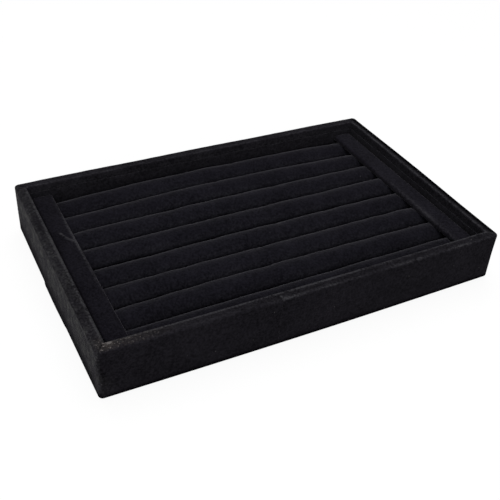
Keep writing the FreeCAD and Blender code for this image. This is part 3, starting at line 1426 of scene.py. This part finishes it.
@dataclass
class RailCover:
    """The velvet over one of the flat rails that lie on the ends of the rolls.

    The shades are painted shade down the side faces, from the inner to the outer one, and along the outer
    edge, over a darkness that the whole cover takes. Lengths named in radii count in the edge's radius.
    """

    side: Side
    finish: bpy.types.Material
    thickness: float = 0.0005
    edge_radius: float = 0.0011
    crown: float = 0.0001
    waves: Ripple = Ripple(0.00006, 0.02, 61)
    edge_steps: int = 7
    top_steps: int = 21
    face_steps: int = 6
    end_steps: int = 6
    end_scales: tuple[float, ...] = (0.7, 0.4, 0.0)
    step: float = 0.0009
    rub: float = 0.32
    rubbed: Band = Band(-0.032, 0.034)
    rub_width: float = 0.0014
    rub_radii: float = 0.8
    rub_down_radii: Slope = Slope(2.0, 1.0)
    darkness: float = 0.0
    face_shades: Span = (0.1, 0.65)
    face_across: Slope = Slope(-0.5, 0.5)
    face_down_radii: Slope = Slope(0.8, 2.2)
    outer_shade: float = 0.5
    outer_edge: Band = Band(-1.0, 0.15)
    crease: tuple[Span, ...] = ()
    crease_height: float = 0.0004
    crease_width: float = 0.00055
    crease_down: Slope = Slope(0.003, 0.001)

    def __post_init__(self) -> None:
        """Takes the rail's size from its node."""
        self.node = f"{self.side.word}_rail_cover"
        self.low, self.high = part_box(self.node)
        self.middle = (self.low.x + self.high.x) / 2
        self.half = (self.high.x - self.low.x) / 2
        self.inner = -float(self.side.outward[0])

    def section(self, inset: float) -> np.ndarray:
        """The rail's outline from its inner foot, over its top, to its outer foot.

        Args:
            inset: How much the outline is drawn in, as near the rail's ends.

        Returns:
            Distance across the rail from its middle, and height, at each point.
        """
        half = self.half - inset
        top = self.high.z - self.crown - inset
        r = self.edge_radius
        quarter = np.linspace(0, math.pi / 2, self.edge_steps)
        flat = np.linspace(-1, 1, self.top_steps)[1:-1]
        rise = np.linspace(self.low.z, top - r, self.face_steps)[:-1]
        across = [np.full_like(rise, -half), -half + r * (1 - np.cos(quarter)), flat * (half - r)]
        height = [rise, top - r * (1 - np.sin(quarter)), top + self.crown * (1 - flat**2)]
        x, z = np.concatenate(across), np.concatenate(height)
        mirrored = len(rise) + len(quarter)
        x = np.concatenate([x, -x[:mirrored][::-1]])
        z = np.concatenate([z, z[:mirrored][::-1]])
        return np.stack([x, z], axis=1)

    def ridge(self, points: np.ndarray) -> np.ndarray:
        """How strongly the crease shows at points on the rail.

        Args:
            points: The points.

        Returns:
            From 0 away from the crease to 1 on its line.
        """
        strength = np.zeros(points.shape[:-1])
        for start, end in zip(self.crease, self.crease[1:]):
            a, b = np.array(start), np.array(end)
            share = np.clip((points[..., :2] - a) @ (b - a) / ((b - a) @ (b - a)), 0, 1)
            gap = np.linalg.norm(points[..., :2] - (a + share[..., None] * (b - a)), axis=-1)
            strength = np.maximum(strength, bell(gap, self.crease_width))
        return strength * self.crease_down.at(self.high.z - points[..., 2])

    def stations(self) -> list[tuple[float, float]]:
        """Places along the rail.

        Returns:
            Each place, and how much the outline is drawn in there.
        """
        r = self.edge_radius
        turns = np.linspace(0, math.pi / 2, self.end_steps)[:-1]
        ends = [(self.low.y + r * (1 - math.cos(t)), r * (1 - math.sin(t))) for t in turns]
        count = round((self.high.y - self.low.y) / self.step)
        body = [(y, 0.0) for y in np.linspace(self.low.y + r, self.high.y - r, count)]
        return ends + body + [(self.high.y + self.low.y - y, inset) for y, inset in reversed(ends)]

    def rows(self) -> np.ndarray:
        """Points over the rail, row by row along its length, closed at both ends.

        Returns:
            The points by row and column.
        """
        waves = self.waves.seeded(self.side.value)
        rows = []
        for place, inset in self.stations():
            across, height = self.section(inset).T
            along = np.full(len(across), place)
            uneven = waves.over(along, across) - waves.height
            rows.append(np.stack([self.middle - self.inner * across, along, height + uneven], axis=1))
        first, last = (self.closing(row) for row in (rows[0], rows[-1]))
        return np.array(first[::-1] + rows + last)

    def closing(self, row: np.ndarray) -> list[np.ndarray]:
        """The ever smaller rows that close an end of the rail, beyond its last row."""
        foot = np.array([self.middle, row[0, 1], self.low.z])
        return [foot + (row - foot) * scale for scale in self.end_scales]

    def build(self) -> bpy.types.Object:
        """Makes the cover.

        Returns:
            The cover.
        """
        rows = self.rows()
        strength = self.ridge(rows)
        rows[..., 2] += self.crease_height * strength
        across = self.inner * (rows[..., 0] - self.middle) / self.half
        below = self.high.z - rows[..., 2]
        radii = below / self.edge_radius
        edge = bell((1 - across) * self.half - self.rub_radii * self.edge_radius, self.rub_width)
        edge = edge * self.rub_down_radii.at(radii)
        wear = np.clip(self.rub * edge * self.rubbed.at(rows[..., 1]) + strength, 0, 1)
        # Painted shade down the side faces, most on the outer one, and along the outer edge
        inner_shade, outer_shade = self.face_shades
        faces = inner_shade + (outer_shade - inner_shade) * self.face_across.at(-across)
        shade = self.darkness + faces * self.face_down_radii.at(radii)
        shade = np.clip(shade + self.outer_shade * self.outer_edge.at(across), 0, 1)
        skin = Skin.over_rows(rows, {"wear": wear, "dust": 0 * wear, "shade": shade})
        dress = Dress(self.finish, Slot.VELVET, Body.INSERT, (self.node,))
        piece = dress.add(f"velvet_{self.node}", skin, self.thickness)
        return piece


@dataclass(frozen=True)
class Swelling:
    """Air pressure that fills sleeves out, found by a short cloth simulation at a larger scale."""

    pressure: float = 12.0
    stiffness: float = 15.0
    ease: float = 0.0015
    frames: int = 20
    scale: float = 10.0
    limit: float = 0.0003
    room: float = 0.00012

    @staticmethod
    def points_of(mesh: bpy.types.Mesh) -> np.ndarray:
        """Reads a mesh's points.

        Args:
            mesh: The mesh.

        Returns:
            Its points, one row each.
        """
        points = np.empty(3 * len(mesh.vertices), np.float32)
        mesh.vertices.foreach_get("co", points)
        return points.reshape(-1, 3).astype(float)

    def rig(self, piece: bpy.types.Object, held: np.ndarray) -> bpy.types.Object:
        """Makes the enlarged copy of a sleeve that the simulation works on.

        Args:
            piece: The sleeve.
            held: Whether each of its points is held still.

        Returns:
            The copy.
        """
        copy = bpy.data.objects.new(f"{piece.name}_swelling", piece.data.copy())
        bpy.context.scene.collection.objects.link(copy)
        enlarged = self.points_of(piece.data) * self.scale
        copy.data.vertices.foreach_set("co", enlarged.astype(np.float32).ravel())
        copy.vertex_groups.new(name="held").add(np.flatnonzero(held).tolist(), 1.0, "REPLACE")
        cloth = copy.modifiers.new("cloth", "CLOTH")
        cloth.collision_settings.use_collision = False
        cloth.point_cache.frame_start, cloth.point_cache.frame_end = 1, self.frames
        settings = cloth.settings
        settings.vertex_group_mass = "held"
        settings.tension_stiffness = settings.compression_stiffness = self.stiffness
        settings.use_pressure, settings.uniform_pressure_force = True, self.pressure
        settings.shrink_min = settings.shrink_max = -self.ease
        settings.effector_weights.gravity = 0.0
        return copy

    def fill(self, sleeves: dict[bpy.types.Object, np.ndarray]) -> None:
        """Swells the sleeves together and keeps the result in their meshes.

        Args:
            sleeves: The sleeves, each with whether its points are held still.
        """
        scene = bpy.context.scene
        copies = {piece: self.rig(piece, held) for piece, held in sleeves.items()}
        for number in range(1, self.frames + 1):
            scene.frame_set(number)
        graph = bpy.context.evaluated_depsgraph_get()
        for piece, copy in copies.items():
            start = self.points_of(piece.data)
            moved = self.points_of(copy.evaluated_get(graph).data) / self.scale - start
            reach = np.linalg.norm(moved, axis=1, keepdims=True)
            moved *= np.minimum(1, self.limit / np.maximum(reach, MERGE_DISTANCE))
            moved[:, 1] = np.clip(moved[:, 1], -self.room, self.room)
            piece.data.vertices.foreach_set("co", (start + moved).astype(np.float32).ravel())
            piece.data.update()
            most = np.linalg.norm(moved, axis=1).max()
            LOG.info("%s: swelled %.2f mm at most", piece.name, MILLIMETRES * most)
        for copy in copies.values():
            mesh = copy.data
            bpy.data.objects.remove(copy)
            bpy.data.meshes.remove(mesh)
        scene.frame_set(1)


@dataclass
class RingRoll:
    """A foam strip in a velvet sleeve, seamed underneath, its ends tucked in and pressed by the rails."""

    number: int
    velvet: bpy.types.Material
    foam: bpy.types.Material
    crests: tuple[float, float, float]
    crest_reach: float = 0.085
    thickness: float = 0.0006
    core_inset: float = 1.3
    foot_radius: float = 0.0022
    seam_gap: float = 0.0015
    outline_steps: tuple[int, ...] = (5, 5, 6, 17)
    tuck_length: float = 0.0028
    tuck_inset: float = 0.0011
    tuck_drop: float = 1.2
    tuck_steps: int = 10
    tuck_spread: float = 1.5
    end_height: float = 0.4
    end_rings: tuple[Span, ...] = ((0.82, 0.0), (0.5, 0.0003), (0.2, 0.0006), (0.0, 0.0008))
    lumps: Ripple = Ripple(0.00012, 0.022, 100)
    sway: Ripple = Ripple(0.00018, 0.09, 200)
    crown_up: Slope = Slope(0.004, 0.009)
    crown_drop: float = 0.0001
    pucker: float = 0.00012
    pucker_seed: int = 300
    pucker_reach: float = 0.003
    pucker_counts: tuple[int, int] = (11, 7)
    pucker_second: float = 0.6
    rail_gap: float = 0.0003
    slope_start: float = 0.0002
    slope_length: float = 0.0019
    slope_height: float = 0.004
    softness: float = 0.0005
    # Painted shade deep in the slots between rolls, and painted light on the slopes above it
    slot_down: Slope = Slope(0.0036, 0.0066)
    slot_shade: float = 0.9
    slot_painted_light: float = 0.07
    slot_painted_light_down: Slope = Slope(0.0014, 0.0032)
    step: float = 0.0016
    fine: float = 0.0006

    def __post_init__(self) -> None:
        """Takes the roll's size from its node, and the rails' place from theirs."""
        self.low, self.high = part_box(f"roll_cover_{self.number}")
        self.middle = (self.low.y + self.high.y) / 2
        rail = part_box("right_rail_cover")[0]
        self.rail_edge, self.rail_bottom = rail.x, rail.z
        self.folds = np.random.default_rng(self.pucker_seed + self.number).uniform(0, math.tau, 2)

    def pressed(self, heights: np.ndarray, x: float, skin: float) -> np.ndarray:
        """Heights on the crown, flattened under a rail and led up again beyond its edge.

        Args:
            heights: The heights on a crown that nothing presses.
            x: The place along the roll.
            skin: How far inside the velvet's outer face the points lie.

        Returns:
            The heights under the rail's weight.
        """
        free = float(step_up(np.array(self.rail_edge - abs(x)), self.slope_start, self.slope_length))
        over = heights - (self.rail_bottom - self.rail_gap - skin + self.slope_height * free)
        return heights - (over + np.sqrt(over**2 + self.softness**2)) / 2

    def outline(self, half_width: float, foot: float, crest: float, gap: float) -> np.ndarray:
        """The roll's outline across its length, from one edge of the seam round to the other.

        Args:
            half_width: Half its width.
            foot: The height of its flat foot.
            crest: The height of its crest.
            gap: How wide the seam under its foot is.

        Returns:
            Distance across the roll from its middle, and height, at each point.
        """
        r = self.foot_radius
        axis = crest - half_width
        under_steps, bend_steps, side_steps, crown_steps = self.outline_steps
        under = np.linspace(gap / 2, half_width - r, under_steps)[:-1]
        bend = np.linspace(0, math.pi / 2, bend_steps)[:-1]
        side = np.linspace(foot + r, axis, side_steps)[:-1]
        crown = np.linspace(0, math.pi / 2, crown_steps)
        parts = [
            (under, np.full_like(under, foot)),
            (half_width - r + r * np.sin(bend), foot + r * (1 - np.cos(bend))),
            (np.full_like(side, half_width), side),
            (half_width * np.cos(crown), axis + half_width * np.sin(crown)),
        ]
        y, z = (np.concatenate([part[n] for part in parts]) for n in (0, 1))
        return np.stack([np.concatenate([-y, y[-2::-1]]), np.concatenate([z, z[-2::-1]])], axis=1)

    def places(self, half_length: float) -> np.ndarray:
        """Places along the roll, closer together in its tucked ends and at the rails' edges.

        Args:
            half_length: Half the roll's length.

        Returns:
            The places, from one end to the other.
        """
        tuck = self.tuck_length * np.linspace(0, 1, self.tuck_steps)[:-1] ** self.tuck_spread
        straight = half_length - self.tuck_length
        edges = [-self.rail_edge, self.rail_edge]
        body = spaced(-straight, straight, self.step, self.fine, edges, self.slope_length)
        return np.concatenate([tuck - half_length, body, half_length - tuck[::-1]])

    def crest(self, x: float, skin: float) -> float:
        """The height of the crest.

        Args:
            x: The place along the roll.
            skin: How far inside the velvet's outer face the crest lies.

        Returns:
            The height.
        """
        left, level, right = self.crests
        part = x / self.crest_reach
        bow = level + (right - left) / 2 * part + ((right + left) / 2 - level) * part**2
        sway = self.sway.seeded(self.number).over(np.array(x), np.array(0.0))
        return self.high.z - skin + bow + float(sway)

    def ring(self, x: float, from_end: float, skin: float, gap: float) -> np.ndarray:
        """The points round the roll at one place along it, with its lumps and puckers.

        Args:
            x: The place along the roll.
            from_end: How far that is from the nearer end.
            skin: How far inside the velvet's outer face the points lie.
            gap: How wide the seam under the foot is.

        Returns:
            The points.
        """
        half_width = (self.high.y - self.low.y) / 2 - skin
        foot, crest = self.low.z + skin, self.crest(x, skin)
        share = min(from_end / self.tuck_length, 1.0)
        inset = self.tuck_inset * (1 - math.sqrt(1 - (1 - share) ** 2))
        shape = self.outline(half_width - inset, foot, crest - self.tuck_drop * inset, gap)
        angle = np.arctan2(shape[:, 1] - (foot + crest) / 2, shape[:, 0])
        many, few = (np.sin(n * angle + fold) for n, fold in zip(self.pucker_counts, self.folds))
        pucker = self.pucker * math.exp(-from_end / self.pucker_reach) * (many + self.pucker_second * few)
        lumps = self.lumps.seeded(self.number).over(np.full(len(shape), x), angle * half_width)
        swell = self.crown_up.at(shape[:, 1] - foot) * (lumps + pucker - self.crown_drop)
        y, z = shape.T + swell * np.stack([np.cos(angle), np.sin(angle)])
        return np.stack([np.full(len(shape), x), self.middle + y, self.pressed(z, x, skin)], axis=1)

    def closing(self, ring: np.ndarray, height: float) -> list[np.ndarray]:
        """The ever smaller rings that close an end of the roll.

        Args:
            ring: The last points of the roll's length.
            height: How high the middle of the end is.

        Returns:
            The rings, dished a little into the roll.
        """
        centre = np.array([0.0, self.middle, height])
        caps = []
        for scale, dish in self.end_rings:
            cap = centre + (ring - centre) * (0, scale, scale)
            cap[:, 0] = ring[0, 0] - math.copysign(dish, ring[0, 0])
            caps.append(cap)
        return caps

    def rows(self, skin: float, gap: float) -> np.ndarray:
        """Points over the roll, row by row along its length, closed at both ends.

        Args:
            skin: How far inside the velvet's outer face the points lie.
            gap: How wide the seam under the foot is.

        Returns:
            The points by row and column.
        """
        half_length = (self.high.x - self.low.x) / 2 - skin
        places = self.places(half_length)
        rings = [self.ring(x, half_length - abs(x), skin, gap) for x in places]
        foot, crest = self.low.z + skin, self.crest(places[-1], skin)
        height = foot + self.end_height * (crest - foot)
        first, last = (self.closing(ring, height) for ring in (rings[0], rings[-1]))
        return np.array(first[::-1] + rings + last)

    def marks(self, rows: np.ndarray) -> dict[str, np.ndarray]:
        """Painted shade deep down the sides that face a neighbouring roll, where the pile is pressed flat,
        which takes their sheen away, and painted light on the slopes above it.

        Args:
            rows: The sleeve's points.

        Returns:
            The painted light, the dust, which is none, and the painted shade at each point, from 0 to 1.
        """
        beside = rows[..., 1] - self.middle
        pressed = np.ones_like(beside)
        if self.number == 1:
            pressed = beside < 0
        elif self.number == len(ROLL_CRESTS):
            pressed = beside > 0
        below = rows[..., 2].max(axis=1, keepdims=True) - rows[..., 2]
        deep = self.slot_down.at(below)
        wear = self.slot_painted_light * self.slot_painted_light_down.at(below) * (1 - deep)
        return {"wear": wear, "dust": 0 * below, "shade": self.slot_shade * pressed * deep}

    def held(self, piece: bpy.types.Object) -> np.ndarray:
        """Which of the sleeve's points the card under it, its neighbours and the rails hold still.

        Args:
            piece: The sleeve.

        Returns:
            Whether each point is held.
        """
        points = Swelling.points_of(piece.data)
        under_rail = np.abs(points[:, 0]) > self.rail_edge - self.rail_gap
        crown_foot = self.high.z - (self.high.y - self.low.y) / 2
        return under_rail | (points[:, 2] < crown_foot)

    def build(self) -> bpy.types.Object:
        """Makes the roll's foam and its sleeve.

        Returns:
            The sleeve.
        """
        skin = Skin.over_rows(self.rows(self.core_inset * self.thickness, 0.0), {})
        foam = Dress(self.foam, Slot.FOAM, Body.INSERT, (f"roll_core_{self.number}",))
        foam.add(f"foam_strip_{self.number}", skin)
        sleeve = self.rows(0.0, self.seam_gap)
        skin = Skin.over_rows(sleeve, self.marks(sleeve))
        velvet = Dress(self.velvet, Slot.VELVET, Body.INSERT, (f"roll_cover_{self.number}",))
        piece = velvet.add(f"velvet_roll_{self.number}", skin, self.thickness)
        return piece


@dataclass
class HiddenParts:
    """The boards, card and paper that keep their shapes and only get their finishes."""

    board: FibreBoard
    card: GreyCard
    paper: BackingPaper

    def dress(self) -> None:
        """Gives each of those nodes its finish."""
        boards = [f"{side.word}_wall_board" for side in Side]
        finishes = {
            self.board.material(): [*boards, "base_panel", "left_rail_core", "right_rail_core"],
            self.card.material(): ["insert_board"],
            self.paper.material(): ["underside_cover"],
        }
        for finish, nodes in finishes.items():
            for node in nodes:
                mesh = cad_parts[node].data
                mesh.materials.clear()
                mesh.materials.append(finish)
                LOG.info("%s: finished in %s", node, finish.name)


@dataclass
class Studio:
    """The white floor, the soft lamps and the camera."""

    azimuth: float = math.radians(-29.68)
    elevation: float = math.radians(37.171)
    roll: float = math.radians(4.282)
    distance: float = 0.44307
    target: Place = (0.00107, 0.00229, 0.0)
    lens: float = 55.776
    sensor: float = 36.0
    floor_size: float = 6.0
    floor_white: float = 0.9
    plain_share: float = 0.9
    sky: float = 0.4

    def build(self) -> None:
        """Sets the stage."""
        self.lay_floor()
        self.light_world()
        self.hang_lamp("front_lamp", place=(-0.35, -1.1, 0.8), size=1.0, power=13.0)
        self.hang_lamp("top_lamp", place=(0.1, 0.4, 1.4), size=1.2, power=14.0)
        self.place_camera()
        bpy.context.scene.view_settings.view_transform = "Standard"

    def white_for_camera(self, graph: Graph) -> Field:
        """1 for rays that show the background itself or its mirror image, and 0 for those that carry light.

        Args:
            graph: The node tree of the background.

        Returns:
            The value.
        """
        path = graph.node("ShaderNodeLightPath")
        names = ("Is Camera Ray", "Is Glossy Ray", "Is Transmission Ray")
        direct, mirrored, refracted = (Field(graph, path.outputs[name]) for name in names)
        return direct + mirrored + refracted

    def lay_floor(self) -> None:
        """Lays a white floor that keeps a soft shadow."""
        graph = Graph.of_material("white_floor")
        lit = graph.field("ShaderNodeBsdfDiffuse", None, {"Color": (self.floor_white,) * 3})
        plain = graph.field("ShaderNodeEmission", None, {"Color": WHITE, "Strength": 1.0})
        share = self.plain_share * self.white_for_camera(graph)
        mixed = graph.field("ShaderNodeMixShader", None, {0: share, 1: lit, 2: plain})
        graph.node("ShaderNodeOutputMaterial", None, {"Surface": mixed})
        mesh = bpy.data.meshes.new("floor")
        half = self.floor_size / 2
        corners = [(-half, -half, 0), (half, -half, 0), (half, half, 0), (-half, half, 0)]
        mesh.from_pydata(corners, [], [(0, 1, 2, 3)])
        mesh.materials.append(graph.owner)
        floor = bpy.data.objects.new("floor", mesh)
        bpy.context.scene.collection.objects.link(floor)

    def light_world(self) -> None:
        """Makes the sky white to look at and of a plain strength as light."""
        graph = Graph(bpy.data.worlds.new("white_sky"))
        bpy.context.scene.world = graph.owner
        strength = self.sky + (1 - self.sky) * self.white_for_camera(graph)
        sky = graph.field("ShaderNodeBackground", None, {"Color": WHITE, "Strength": strength})
        graph.node("ShaderNodeOutputWorld", None, {"Surface": sky})

    def hang_lamp(self, name: str, place: Place, size: float, power: float) -> None:
        """Hangs a square soft lamp that faces the tray.

        Args:
            name: The lamp's name.
            place: Where it hangs.
            size: The length of its sides.
            power: Its power in watts.
        """
        lamp = bpy.data.lights.new(name, "AREA")
        lamp.size = size
        lamp.energy = power
        holder = bpy.data.objects.new(name, lamp)
        holder.location = place
        holder.rotation_euler = Vector(place).to_track_quat("Z", "Y").to_euler()
        bpy.context.scene.collection.objects.link(holder)

    def place_camera(self) -> None:
        """Places the camera at the photograph's viewing angle."""
        level, height = math.cos(self.elevation), math.sin(self.elevation)
        back = Vector((math.sin(self.azimuth) * level, -math.cos(self.azimuth) * level, height))
        right = Vector((0, 0, 1)).cross(back).normalized()
        up = back.cross(right)
        tilt = Matrix.Rotation(self.roll, 3, back)
        camera = bpy.data.cameras.new("camera")
        camera.lens = self.lens
        camera.sensor_width = self.sensor
        holder = bpy.data.objects.new("camera", camera)
        turn = Matrix((tilt @ right, tilt @ up, back)).transposed()
        holder.matrix_world = Matrix.Translation(Vector(self.target) + back * self.distance) @ turn.to_4x4()
        bpy.context.scene.collection.objects.link(holder)
        bpy.context.scene.camera = holder


def main() -> None:
    """Builds the tray, the insert and the studio."""
    logging.basicConfig(level=logging.INFO, format="%(message)s")
    wrap_velvet = Velvet("wrap_velvet", pile=(0.0085, 0.0079, 0.0099), sheen=0.045).material()
    rail_velvet = Velvet("rail_velvet", pile=(0.0071, 0.0066, 0.0091), lint_share=0.08).material()
    brushed = {"lint_share": 0.08, "sheen": 0.092, "sheen_roughness": 0.39}
    roll_velvet = Velvet("roll_velvet", pile=(0.0063, 0.006, 0.0083), **brushed).material()
    lining_velvet = Velvet("lining_velvet", pile=(0.0094, 0.0089, 0.0109), lint_share=0.05).material()
    WallWrap(wrap_velvet).build()
    for side in Side:
        Lining(side, lining_velvet).build()
    FloorLining(lining_velvet).build()
    worn_edge = {"rub": 0.7, "rubbed": Band(0.015, 0.03), "rub_width": 0.0006, "darkness": 0.2}
    RailCover(Side.LEFT, rail_velvet, crease=LEFT_RAIL_CREASE, **worn_edge).build()
    RailCover(Side.RIGHT, rail_velvet).build()
    foam = Foam().material()
    sleeves = {}
    for number, crests in enumerate(ROLL_CRESTS, start=1):
        roll = RingRoll(number, roll_velvet, foam, crests)
        sleeve = roll.build()
        sleeves[sleeve] = roll.held(sleeve)
    Swelling().fill(sleeves)
    HiddenParts(FibreBoard(), GreyCard(), BackingPaper()).dress()
    Studio().build()
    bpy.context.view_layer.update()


if __name__ == "__main__":
    main()
